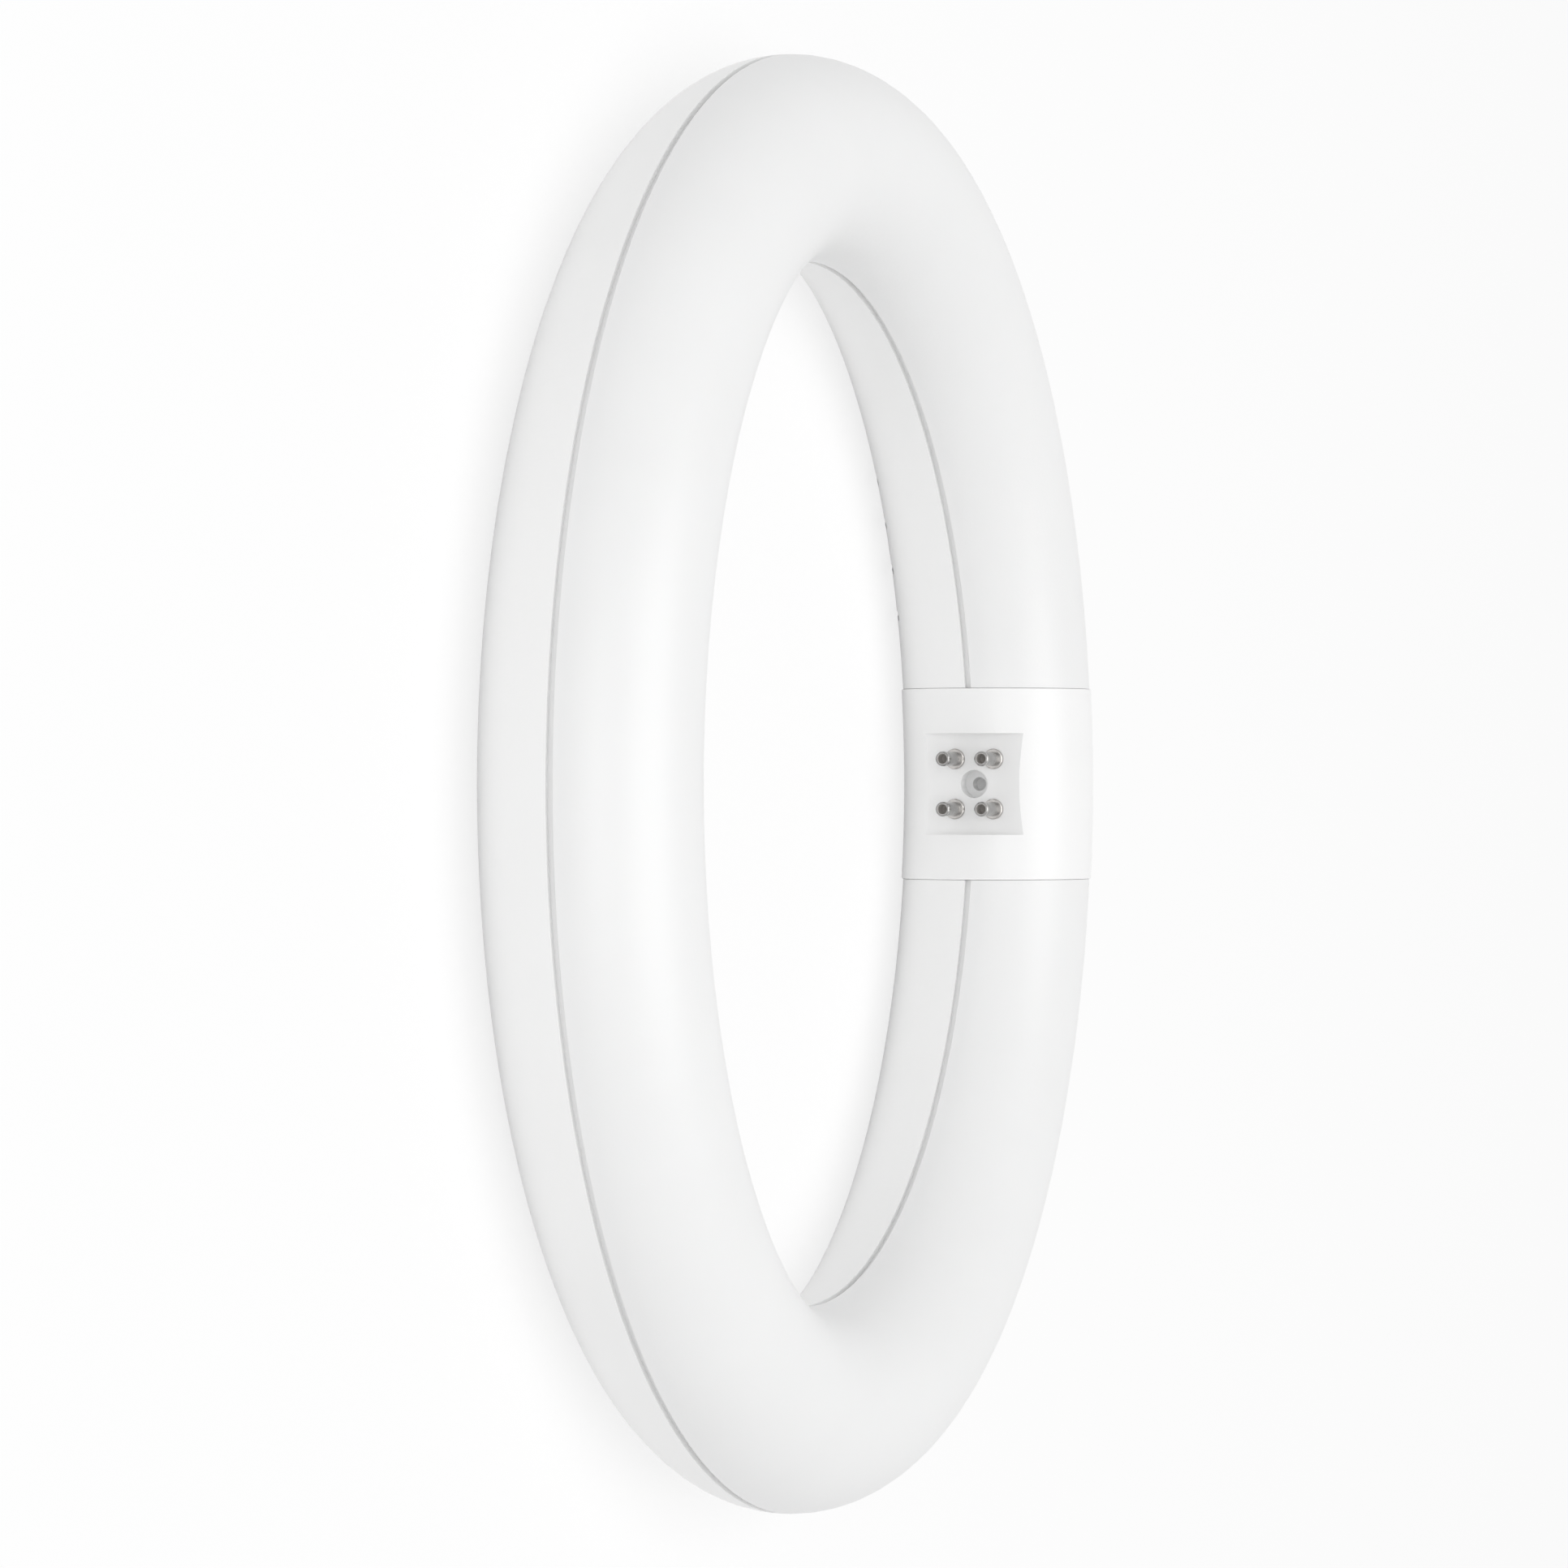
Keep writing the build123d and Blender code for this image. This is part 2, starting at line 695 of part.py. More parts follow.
# Driver board with its screws, under the insulating film on the back of the LED board
driver_strip = arc_plate(driver_half, 0, driver_length, driver_board_bottom, driver_board_thickness)
with BuildPart() as driver_board:
    add(driver_strip)
    with BuildSketch(Plane.XY.offset(driver_board_bottom)):
        with Locations(*[ring_point(angle, 0, 0) for angle in post_angles]):
            Circle(driver_screw_radius + screw_hole_clearance)
    extrude(amount=driver_board_thickness, mode=Mode.SUBTRACT)
driver_board.part.label = "driver_board"
export_step(driver_board.part, "parts/driver_board.step")

driver_screw = pan_screw(
    driver_screw_radius, driver_screw_length, driver_screw_head_radius, driver_screw_head_height
)
with BuildPart() as driver_board_screws:
    with Locations(*[ring_point(angle, 0, driver_board_top) for angle in post_angles]):
        add(driver_screw)
driver_board_screws.part.label = "driver_board_screws"
export_step(driver_board_screws.part, "parts/driver_board_screws.step")

insulating_film = arc_plate(film_half, 0, driver_length, film_bottom, film_thickness)
insulating_film.label = "insulating_film"
export_step(insulating_film, "parts/insulating_film.step")

# Fusible resistor across the board: a body with an end cap and a leg at each end
fuse_leg = wire_leg(0, fuse_body_length / 2, fuse_wire_reach, fuse_cap_radius, fuse_wire_radius)
with BuildPart() as resistor_body:
    with BuildSketch(Plane.XZ):
        Rectangle(fuse_body_radius, fuse_body_length, align=(Align.MIN, Align.CENTER))
        with Locations((0, fuse_body_length / 2)):
            Rectangle(fuse_cap_radius, fuse_cap_length, align=(Align.MIN, Align.MAX))
        mirror(about=Plane.XZ)
    revolve(axis=Axis.Z)
    add(fuse_leg)
    mirror(about=Plane.XY)
with BuildPart() as fusible_resistor:
    with Locations(lying_across(fuse_place, fuse_cap_radius)):
        add(resistor_body.part)
fusible_resistor.part.label = "fusible_resistor"
export_step(fusible_resistor.part, "parts/fusible_resistor.step")

# Moulded packages on their bent feet
packages = {
    "bridge_rectifier": (
        rectifier_place, rectifier_size, rectifier_lead, rectifier_lead_pitch, rectifier_lead_count
    ),
    "control_chip": (chip_place, chip_size, chip_lead, chip_lead_pitch, chip_lead_count),
    "output_diode": (diode_place, diode_size, diode_lead, diode_lead_pitch, diode_lead_count),
}
for name, (place, body, foot, foot_pitch, foot_count) in packages.items():
    package = moulded_package(body, foot, foot_pitch, foot_count)
    with BuildPart() as placed_package:
        with Locations(flat_on_board(place)):
            add(package)
    placed_package.part.label = name
    export_step(placed_package.part, f"parts/{name}.step")

# Film capacitor, a dipped block with rounded corners
with BuildPart() as film_capacitor:
    with BuildSketch(flat_on_board(film_capacitor_place)):
        RectangleRounded(film_capacitor_size[1], film_capacitor_size[0], film_capacitor_rounding)
    extrude(amount=film_capacitor_size[2])
    chamfer(film_capacitor.faces().sort_by(Axis.Z)[-1].edges(), film_capacitor_rounding)
film_capacitor.part.label = "film_capacitor"
export_step(film_capacitor.part, "parts/film_capacitor.step")

# Filter choke, a drum core standing on end with its winding between the flanges
with BuildPart() as drum:
    with BuildSketch(Plane.XZ):
        with BuildLine():
            Polyline(
                (0, 0),
                (choke_radius, 0),
                (choke_radius, choke_flange),
                (choke_winding_radius, choke_flange),
                (choke_winding_radius, choke_height - choke_flange),
                (choke_radius, choke_height - choke_flange),
                (choke_radius, choke_height),
                (0, choke_height),
                close=True,
            )
        make_face()
    revolve(axis=Axis.Z)
with BuildPart() as filter_choke:
    with Locations(flat_on_board(choke_place)):
        add(drum.part)
filter_choke.part.label = "filter_choke"
export_step(filter_choke.part, "parts/filter_choke.step")

# Can capacitors, lying along the board
cans = {
    "bulk_capacitor": (bulk_capacitor_place, bulk_capacitor_length),
    "output_capacitor": (output_capacitor_place, output_capacitor_length),
}
for name, (place, length) in cans.items():
    can = can_capacitor(length)
    with BuildPart() as placed_can:
        with Locations(lying_along(place, capacitor_radius)):
            add(can)
    placed_can.part.label = name
    export_step(placed_can.part, f"parts/{name}.step")

# Power inductor: a core with a centre leg, a bobbin round the leg and the winding on it
window_length = core_size[0] - 2 * core_back
window_reach = core_size[1] / 2 - core_outer_leg
window_width = window_reach - core_centre_leg / 2
core_lift = (bobbin_height - core_size[2]) / 2
with BuildPart() as inductor_core:
    with BuildSketch(flat_on_board(inductor_place, core_lift)):
        Rectangle(core_size[1], core_size[0])
        with GridLocations(core_centre_leg + window_width, 0, 2, 1):
            Rectangle(window_width, window_length, mode=Mode.SUBTRACT)
    extrude(amount=core_size[2])
inductor_core.part.label = "inductor_core"
export_step(inductor_core.part, "parts/inductor_core.step")

leg_across = core_centre_leg + 2 * bobbin_clearance
leg_up = core_size[2] + 2 * bobbin_clearance
tube_across = leg_across + 2 * bobbin_wall
tube_up = leg_up + 2 * bobbin_wall
flange_across = 2 * (window_reach - bobbin_clearance)
bobbin_length = window_length - 2 * bobbin_clearance
bobbin_plane = lying_along(inductor_place, bobbin_height / 2)
with BuildPart() as inductor_bobbin:
    with BuildSketch(bobbin_plane):
        Rectangle(flange_across, bobbin_height)
        Rectangle(leg_across, leg_up, mode=Mode.SUBTRACT)
    extrude(amount=bobbin_length / 2, both=True)
    with BuildSketch(bobbin_plane):
        Rectangle(span, span)
        Rectangle(tube_across, tube_up, mode=Mode.SUBTRACT)
    extrude(amount=bobbin_length / 2 - bobbin_flange, both=True, mode=Mode.SUBTRACT)
inductor_bobbin.part.label = "inductor_bobbin"
export_step(inductor_bobbin.part, "parts/inductor_bobbin.step")

with BuildPart() as inductor_winding:
    with BuildSketch(bobbin_plane):
        RectangleRounded(
            flange_across - 2 * winding_sink, bobbin_height - 2 * winding_sink, winding_sink
        )
        Rectangle(tube_across, tube_up, mode=Mode.SUBTRACT)
    extrude(amount=bobbin_length / 2 - bobbin_flange, both=True)
inductor_winding.part.label = "inductor_winding"
export_step(inductor_winding.part, "parts/inductor_winding.step")

# Input leads, from the tails of the pins round to the pads on the driver board
pad_angle = driver_angle(input_pad_place)
lead_start = contact_x - tail_end + lead_gap
pin_rows = [(1, -1), (1, 1), (-1, -1), (-1, 1)]
for number, (side, face) in enumerate(pin_rows):
    along = side * pin_pitch_along / 2
    height = face * pin_pitch_across / 2
    turn = lead_start + lead_first_turn + number * lead_turn_step
    drop = lead_drop_high if face > 0 else lead_drop_low
    across = (number - (len(pin_rows) - 1) / 2) * lead_pad_pitch
    input_lead = lead(
        [
            Vector(lead_start, along, height),
            Vector(turn, along, height),
            Vector(turn, lead_bend_place, -drop),
            ring_point(pad_angle, across, driver_board_top + lead_stand),
            ring_point(pad_angle, across, driver_board_top),
        ],
        strand_length,
    )
    input_lead.label = f"input_lead_{number + 1}"
    export_step(input_lead, f"parts/input_lead_{number + 1}.step")

# Output leads, up through the LED board and over to its upper face
for name, side in (("output_lead_inner", -1), ("output_lead_outer", 1)):
    across = side * output_lead_across
    pad_angle = driver_angle(output_pad_place)
    landing_angle = driver_angle(lead_hole_place + output_lead_reach)
    output_lead = lead(
        [
            ring_point(pad_angle, across, driver_board_top),
            ring_point(pad_angle, across, driver_board_top + lead_stand),
            ring_point(lead_hole_angle, across, driver_board_top + output_lead_climb),
            ring_point(lead_hole_angle, across, led_board_top + output_lead_stand),
            ring_point(landing_angle, across, led_board_top + output_lead_stand),
            ring_point(landing_angle, across, led_board_top),
        ]
    )
    output_lead.label = name
    export_step(output_lead, f"parts/{name}.step")
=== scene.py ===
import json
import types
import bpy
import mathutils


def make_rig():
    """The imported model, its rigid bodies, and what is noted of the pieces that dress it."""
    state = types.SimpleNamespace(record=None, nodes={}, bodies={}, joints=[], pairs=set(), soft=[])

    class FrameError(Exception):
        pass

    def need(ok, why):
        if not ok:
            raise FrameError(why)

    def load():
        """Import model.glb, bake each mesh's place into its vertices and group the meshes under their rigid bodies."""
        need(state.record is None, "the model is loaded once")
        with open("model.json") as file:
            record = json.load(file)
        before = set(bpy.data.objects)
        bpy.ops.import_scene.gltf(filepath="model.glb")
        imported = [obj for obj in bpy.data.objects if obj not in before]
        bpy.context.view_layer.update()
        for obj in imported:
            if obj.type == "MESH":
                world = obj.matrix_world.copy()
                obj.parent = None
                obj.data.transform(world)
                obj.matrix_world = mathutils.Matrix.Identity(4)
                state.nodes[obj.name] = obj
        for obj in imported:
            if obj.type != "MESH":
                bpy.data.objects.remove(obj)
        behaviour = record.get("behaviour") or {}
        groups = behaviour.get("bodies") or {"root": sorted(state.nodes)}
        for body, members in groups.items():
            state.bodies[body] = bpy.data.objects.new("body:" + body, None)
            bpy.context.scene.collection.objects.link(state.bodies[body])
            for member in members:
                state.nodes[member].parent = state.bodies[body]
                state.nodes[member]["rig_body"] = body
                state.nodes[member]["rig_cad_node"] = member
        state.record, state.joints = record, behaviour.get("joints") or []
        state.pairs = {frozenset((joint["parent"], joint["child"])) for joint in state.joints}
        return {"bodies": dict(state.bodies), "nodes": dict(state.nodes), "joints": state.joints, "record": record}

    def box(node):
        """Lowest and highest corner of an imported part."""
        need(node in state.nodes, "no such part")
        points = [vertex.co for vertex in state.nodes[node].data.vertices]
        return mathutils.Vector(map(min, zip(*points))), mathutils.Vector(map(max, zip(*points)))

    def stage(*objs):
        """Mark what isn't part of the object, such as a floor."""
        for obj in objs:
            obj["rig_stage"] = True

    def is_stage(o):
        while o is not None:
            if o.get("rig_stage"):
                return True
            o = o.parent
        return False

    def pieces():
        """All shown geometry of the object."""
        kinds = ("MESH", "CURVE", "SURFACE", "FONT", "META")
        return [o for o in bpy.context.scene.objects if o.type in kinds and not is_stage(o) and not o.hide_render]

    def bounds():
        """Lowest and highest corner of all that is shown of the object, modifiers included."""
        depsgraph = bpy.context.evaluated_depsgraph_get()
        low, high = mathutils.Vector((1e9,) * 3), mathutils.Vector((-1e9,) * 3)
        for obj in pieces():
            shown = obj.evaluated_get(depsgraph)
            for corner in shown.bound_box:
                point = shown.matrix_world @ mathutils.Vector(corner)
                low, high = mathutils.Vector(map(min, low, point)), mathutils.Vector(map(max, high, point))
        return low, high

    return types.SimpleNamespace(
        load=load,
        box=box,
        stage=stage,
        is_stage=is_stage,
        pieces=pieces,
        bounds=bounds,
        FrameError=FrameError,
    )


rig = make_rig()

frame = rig.load()

import json
from math import atan2, cos, hypot, pi, radians, sin

import bpy
from mathutils import Matrix, Vector

# Circular LED tube, lying with its lit face up. Metres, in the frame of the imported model:
# +Z out of the lit face, +X towards the cap.
nodes = frame["nodes"]
cadBox = [list(corner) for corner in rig.bounds()]

# sizes that the finishes need, read off the frame
housingLow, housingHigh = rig.box("rear_housing")
tubeRadius = -housingLow.z
middleRadius = housingHigh.y - tubeRadius       # of the tube's middle line
pinLow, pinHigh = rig.box("contact_pin_2")       # the pin on the +Y and +Z side
pinAside, pinOver = (pinLow.y + pinHigh.y) / 2, (pinLow.z + pinHigh.z) / 2
inputLeads = [name for name in nodes if name.startswith("input_lead")]

# how much of a surface's normal lies one way
sideLimit = 0.5                 # with less of it, the surface is a side
squareLimit = 0.9               # with more of it, the surface faces that way squarely

noiseSpan = (0.3, 0.7)          # where most values of the noise texture lie
waveWidth = pi / 10             # of a band of the wave texture at scale 1
white = (1.0, 1.0, 1.0, 1.0)


# how far a node reaches across the middle line, along it and up, as (low, high) pairs
def reachOf(name):
    points = [vertex.co for vertex in nodes[name].data.vertices]
    places = [(hypot(p.x, p.y) - middleRadius, atan2(p.y, p.x) * middleRadius, p.z) for p in points]
    return [(min(values), max(values)) for values in zip(*places)]


print("frame: %d nodes, ring radius %.2f mm" % (len(nodes), middleRadius * 1000))


# a socket that takes part in plain arithmetic
class Wire:
    def __init__(self, look, socket):
        self.look = look
        self.socket = socket

    def maths(self, operation, first, second=0.0):
        return self.look.maths(operation, first, second)

    def __add__(self, other):
        return self.maths("ADD", self, other)

    __radd__ = __add__

    def __sub__(self, other):
        return self.maths("SUBTRACT", self, other)

    def __rsub__(self, other):
        return self.maths("SUBTRACT", other, self)

    def __mul__(self, other):
        return self.maths("MULTIPLY", self, other)

    __rmul__ = __mul__

    def __truediv__(self, other):
        return self.maths("DIVIDE", self, other)

    def __rtruediv__(self, other):
        return self.maths("DIVIDE", other, self)

    def __lt__(self, other):
        return self.maths("LESS_THAN", self, other)

    def __gt__(self, other):
        return self.maths("GREATER_THAN", self, other)

    def __abs__(self):
        return self.maths("ABSOLUTE", self)


# one material or world, put together node by node
class Look:
    def __init__(self, owner):
        owner.use_nodes = True
        self.owner = owner
        self.tree = owner.node_tree
        self.tree.nodes.clear()

    # kind of node, its settings, the values or wires of its sockets, and the output to go on from
    def add(self, kind, settings=None, sockets=None, out=0):
        made = self.tree.nodes.new(kind)
        for key, value in (settings or {}).items():
            setattr(made, key, value)
        for key, value in (sockets or {}).items():
            if isinstance(value, Wire):
                self.tree.links.new(value.socket, made.inputs[key])
            else:
                made.inputs[key].default_value = value
        return Wire(self, made.outputs[out]) if made.outputs else None

    def maths(self, operation, first, second=0.0):
        return self.add("ShaderNodeMath", {"operation": operation}, {0: first, 1: second})

    # every output of a node, or the named ones
    def split(self, kind, sockets=None, names=None):
        made = self.add(kind, {}, sockets).socket.node
        return [Wire(self, made.outputs[key]) for key in names or made.outputs.keys()]

    def spot(self):
        return self.add("ShaderNodeTexCoord", out="Object")

    # X, Y and Z of the spot as numbers
    def axes(self):
        return self.split("ShaderNodeSeparateXYZ", {0: self.spot()})

    # X, Y and Z of the surface's normal
    def facing(self):
        return self.split("ShaderNodeSeparateXYZ",
                          {0: self.add("ShaderNodeNewGeometry", out="True Normal")})

    def distance(self, first, second):
        return self.maths("SQRT", first * first + second * second)

    # distance out from the tube's middle line, the length along it from +X, and the height
    def ringPlace(self):
        x, y, z = self.axes()
        return self.distance(x, y) - middleRadius, self.maths("ARCTAN2", y, x) * middleRadius, z

    # distance from the axis of the nearest pin: the four stand along X, alike on every side
    def offPins(self):
        _, y, z = self.axes()
        return self.distance(abs(y) - pinAside, abs(z) - pinOver)

    # patches about size wide, 0 to 1
    def noise(self, size, detail):
        raw = self.add("ShaderNodeTexNoise", {},
                       {"Vector": self.spot(), "Scale": 1 / size, "Detail": detail})
        return self.ranged(raw, 0.0, 1.0, noiseSpan)

    def blotches(self, size):
        return self.noise(size, 3.0)

    def grain(self, size):
        return self.noise(size, 2.0)

    # ridges and grooves side by side, 0 to 1, each width wide
    def ridges(self, place, width):
        return self.maths("PINGPONG", place, width / 2) / (width / 2)

    def ranged(self, value, low, high, taken=(0.0, 1.0)):
        return self.add("ShaderNodeMapRange", {},
                        {"Value": value, "From Min": taken[0], "From Max": taken[1],
                         "To Min": low, "To Max": high})

    def mix(self, share, first, second):
        sockets = {0: share}
        for key, colour in ((6, first), (7, second)):
            sockets[key] = colour if isinstance(colour, Wire) else [*colour, 1.0]
        return self.add("ShaderNodeMix", {"data_type": "RGBA"}, sockets, 2)

    # a colour that goes a little darker and lighter with value
    def mottled(self, colour, value, amount):
        return self.mix(value, [c * (1 - amount) for c in colour],
                        [min(1.0, c * (1 + amount)) for c in colour])

    def bump(self, height, depth):
        return self.add("ShaderNodeBump", {}, {"Height": height, "Distance": depth})

    def done(self, sockets):
        shader = self.add("ShaderNodeBsdfPrincipled", {}, sockets)
        self.add("ShaderNodeOutputMaterial", {}, {"Surface": shader})
        return self.owner


def newLook(name):
    return Look(bpy.data.materials.new(name))


# first over second, by the share of the second
def shared(first, second, share):
    return (1 - share) * first + share * second


finishes = {}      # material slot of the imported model: material
ownFinishes = {}   # node: the material that it has instead

# plastics of the outside
diffuserLook = {
    "colour": (0.90, 0.901, 0.90),
    "change": 0.008,            # share that the mottle darkens and lightens
    "mottle": 0.018,            # width of its blotches
    "grain": 0.0005,            # width of the mould's grain
    "grainDepth": 0.000006,
    "roughness": (0.34, 0.42),
    "within": 0.10,             # share of the light that works inside the wall
    "withinDepth": 0.0012,
}
housingLook = {
    "colour": (0.955, 0.955, 0.953),
    "change": 0.008,
    "mottle": 0.022,
    "grain": 0.0006,
    "grainDepth": 0.000008,
    "roughness": (0.34, 0.44),
    "within": 0.04,
    "withinDepth": 0.0006,
}
capLook = {
    "colour": (0.955, 0.955, 0.953),
    "change": 0.007,
    "mottle": 0.009,
    "grain": 0.0005,
    "grainDepth": 0.000006,
    "roughness": (0.32, 0.42),
    "within": 0.04,
    "withinDepth": 0.0006,
}
# what the three have in common
plasticLook = {
    "ior": 1.5,
    "grainShare": 0.4,                  # of the roughness, and the rest goes with the mottle
    "withinReach": (1.0, 0.95, 0.9),    # of red, green and blue light
}


def mouldedPlastic(name, piece):
    look = newLook(name)
    mottle = look.blotches(piece["mottle"])
    grain = look.grain(piece["grain"])
    dullness = shared(mottle, grain, plasticLook["grainShare"])
    return look.done({
        "Base Color": look.mottled(piece["colour"], mottle, piece["change"]),
        "Roughness": look.ranged(dullness, *piece["roughness"]),
        "Normal": look.bump(grain, piece["grainDepth"]),
        "IOR": plasticLook["ior"],
        "Subsurface Weight": piece["within"],
        "Subsurface Radius": plasticLook["withinReach"],
        "Subsurface Scale": piece["withinDepth"],
    })


finishes["milky_plastic"] = mouldedPlastic("opalPlastic", diffuserLook)
finishes["white_plastic"] = mouldedPlastic("whitePlastic", housingLook)
finishes["cap_plastic"] = mouldedPlastic("capPlastic", capLook)
print("finishes: shells and cap")

# plated metal, with fine turning lines; on the pins the flange gets a painted highlight and the bore pale solder
pinLook = {
    "colour": (0.36, 0.357, 0.353),
    "dull": (0.245, 0.237, 0.229),
    "dullShare": 0.4,
    "blotch": 0.0011,           # width of the dull patches
    "line": 0.00014,            # width of a turning line
    "lineDepth": 0.0000022,
    "lineShare": 0.3,           # of the roughness, and the rest goes with the patches
    "along": "X",
    "roughness": (0.14, 0.27),
    # pale matte solder in the bore, partly painted light, and a painted highlight ring round the bore's mouth
    "bore": (0.68, 0.66, 0.64),
    "boreRadius": 0.00084,      # solder fill within this distance of a pin's axis, its pale colour partly painted light that lifts the bore's shade; past the bore's mouth it paints a thin highlight ring on the tip
    "boreShine": 0.1,
    # the pins' plating painted lighter on the flange, a painted highlight
    "flange": (0.58, 0.56, 0.54),
    "flangeHighlightRadius": 0.00113,    # painted highlight: the plating is painted brighter beyond this distance from a pin's axis
    "flangeHighlightDull": 0.2,
}
screwLook = {
    "colour": (0.66, 0.67, 0.68),
    "dull": (0.50, 0.50, 0.49),
    "dullShare": 0.5,
    "blotch": 0.0011,
    "line": 0.0006,
    "lineDepth": 0.000006,
    "lineShare": 0.3,
    "along": "Z",
    "roughness": (0.28, 0.45),
}
# how much the turning lines of both waver
waverLook = {"Distortion": 1.5, "Detail": 2.0, "Detail Scale": 2.0}


def turnedMetal(name, piece):
    look = newLook(name)
    sockets = {"Vector": look.spot(), "Scale": waveWidth / piece["line"], **waverLook}
    line = look.add("ShaderNodeTexWave", {"bands_direction": piece["along"]}, sockets, "Fac")
    blotch = look.blotches(piece["blotch"])
    colour = look.mix(blotch * piece["dullShare"], piece["colour"], piece["dull"])
    metal = 1.0
    if "bore" in piece:
        offAxis = look.offPins()
        # painted highlight: the plating is painted brighter on the flange, far from a pin's axis
        flange = (offAxis > piece["flangeHighlightRadius"]) * (1 - blotch * piece["flangeHighlightDull"])
        # pale matte solder in the bore, lighter than its shade, and a painted highlight ring just past its mouth
        bore = offAxis < piece["boreRadius"]
        colour = look.mix(bore, look.mix(flange, colour, piece["flange"]), piece["bore"])
        metal = 1 - bore * (1 - piece["boreShine"])
    return look.done({
        "Base Color": colour,
        "Metallic": metal,
        "Roughness": look.ranged(shared(blotch, line, piece["lineShare"]), *piece["roughness"]),
        "Normal": look.bump(line, piece["lineDepth"]),
    })


finishes["pin_plating"] = turnedMetal("nickelPlate", pinLook)
finishes["zinc_steel"] = turnedMetal("zincPlate", screwLook)

# LED board: two copper tracks under a white coat, and bare metal at its cut edges
boardLook = {
    "mask": (0.82, 0.83, 0.82),
    "overTrack": (0.89, 0.89, 0.87),
    "trackHalf": 0.0042,        # from the middle line to the tracks' outer edges
    "split": 0.0005,            # from the middle line to their inner edges
    "metal": (0.62, 0.63, 0.65),
    "shine": 0.9,
    "grain": 0.0004,
    "grainShare": 0.2,          # of the relief, and the rest is the tracks'
    "coatDepth": 0.00003,
    "roughness": (0.35, 0.5),
}
# its packages: a resin window in a white body, and a tinned pad at each end
packageLook = {
    "body": (0.86, 0.86, 0.83),
    "resin": (0.93, 0.66, 0.10),
    "change": 0.12,
    "rim": 0.0003,              # of the body, left round the window
    "windowDepth": 0.00008,
    "pad": (0.72, 0.72, 0.70),
    "padReach": 0.0001,         # in from the ends of the package
    "padHeight": 0.00025,
    "speck": 0.00012,
    "speckShare": 0.1,          # of the window's depth
    "roughness": (0.22, 0.4),
}


def coatedBoard(name, piece):
    look = newLook(name)
    offMiddle = abs(look.ringPlace()[0])
    onTrack = (offMiddle < piece["trackHalf"]) * (offMiddle > piece["split"])
    cutEdge = abs(look.facing()[2]) < sideLimit
    grain = look.grain(piece["grain"])
    coat = look.mix(onTrack, piece["mask"], piece["overTrack"])
    return look.done({
        "Base Color": look.mix(cutEdge, coat, piece["metal"]),
        "Metallic": cutEdge * piece["shine"],
        "Roughness": look.ranged(grain, *piece["roughness"]),
        "Normal": look.bump(shared(onTrack, grain, piece["grainShare"]), piece["coatDepth"]),
    })


def ledPackage(name, piece):
    look = newLook(name)
    (_, far), _, (bottom, _) = reachOf("led_packages")
    across, _, up = look.ringPlace()
    window = (look.facing()[2] > sideLimit) * (abs(across) < far - piece["rim"])
    pad = (abs(across) > far - piece["padReach"]) * (up < bottom + piece["padHeight"])
    speck = look.noise(piece["speck"], 1.0)
    body = look.mix(window, piece["body"], look.mottled(piece["resin"], speck, piece["change"]))
    return look.done({
        "Base Color": look.mix(pad, body, piece["pad"]),
        "Metallic": pad,
        "Roughness": look.ranged(speck, *piece["roughness"]),
        "Normal": look.bump(piece["speckShare"] * speck - window, piece["windowDepth"]),
    })


finishes["coated_aluminium"] = coatedBoard("coatedBoard", boardLook)
finishes["led_resin"] = ledPackage("ledPackage", packageLook)
print("finishes: metals and LED board")

# driver board
laminateLook = {
    "mask": (0.05, 0.20, 0.09),
    "glass": (0.08, 0.27, 0.13),
    "cutGlass": (0.36, 0.38, 0.24),
    "weave": 0.0005,
    "weaveDepth": 0.000006,
    "weaveShare": 0.25,         # of the mask's colour
    "blotch": 0.004,
    "blotchShare": 0.5,
    "roughness": (0.28, 0.42),
}


def greenBoard(name, piece):
    look = newLook(name)
    weave = look.add("ShaderNodeTexChecker", {},
                     {"Vector": look.spot(), "Scale": 1 / piece["weave"]}, 1)
    blotch = look.blotches(piece["blotch"])
    change = piece["weaveShare"] * weave + piece["blotchShare"] * blotch
    coat = look.mix(change, piece["mask"], piece["glass"])
    cutEdge = abs(look.facing()[2]) < sideLimit
    return look.done({
        "Base Color": look.mix(cutEdge, coat, piece["cutGlass"]),
        "Roughness": look.ranged(blotch, *piece["roughness"]),
        "Normal": look.bump(weave, piece["weaveDepth"]),
    })


finishes["board_laminate"] = greenBoard("greenLaminate", laminateLook)

# plain parts, each all of one stuff
plainLooks = {
    "clear_film": {"colour": (0.78, 0.74, 0.60), "change": 0.05, "blotch": 0.006,
                   "roughness": (0.16, 0.28), "depth": 0.00002},
    "capacitor_epoxy": {"colour": (0.50, 0.085, 0.04), "change": 0.10, "blotch": 0.0016,
                        "roughness": (0.16, 0.3), "depth": 0.00006},
    "ferrite": {"colour": (0.055, 0.055, 0.058), "change": 0.20, "blotch": 0.0005,
                "roughness": (0.45, 0.65), "depth": 0.00002},
    "bobbin_plastic": {"colour": (0.04, 0.04, 0.042), "change": 0.15, "blotch": 0.0009,
                       "roughness": (0.35, 0.5), "depth": 0.000012},
    "lead_red": {"colour": (0.50, 0.03, 0.025), "change": 0.08, "blotch": 0.0012,
                 "roughness": (0.30, 0.42), "depth": 0.000012},
    "lead_white": {"colour": (0.80, 0.80, 0.77), "change": 0.03, "blotch": 0.0012,
                   "roughness": (0.30, 0.42), "depth": 0.000012},
}
plainFineness = 5               # times that the grain is finer than the blotches
plainGrainShares = (0.5, 0.4)   # of the roughness and of the relief


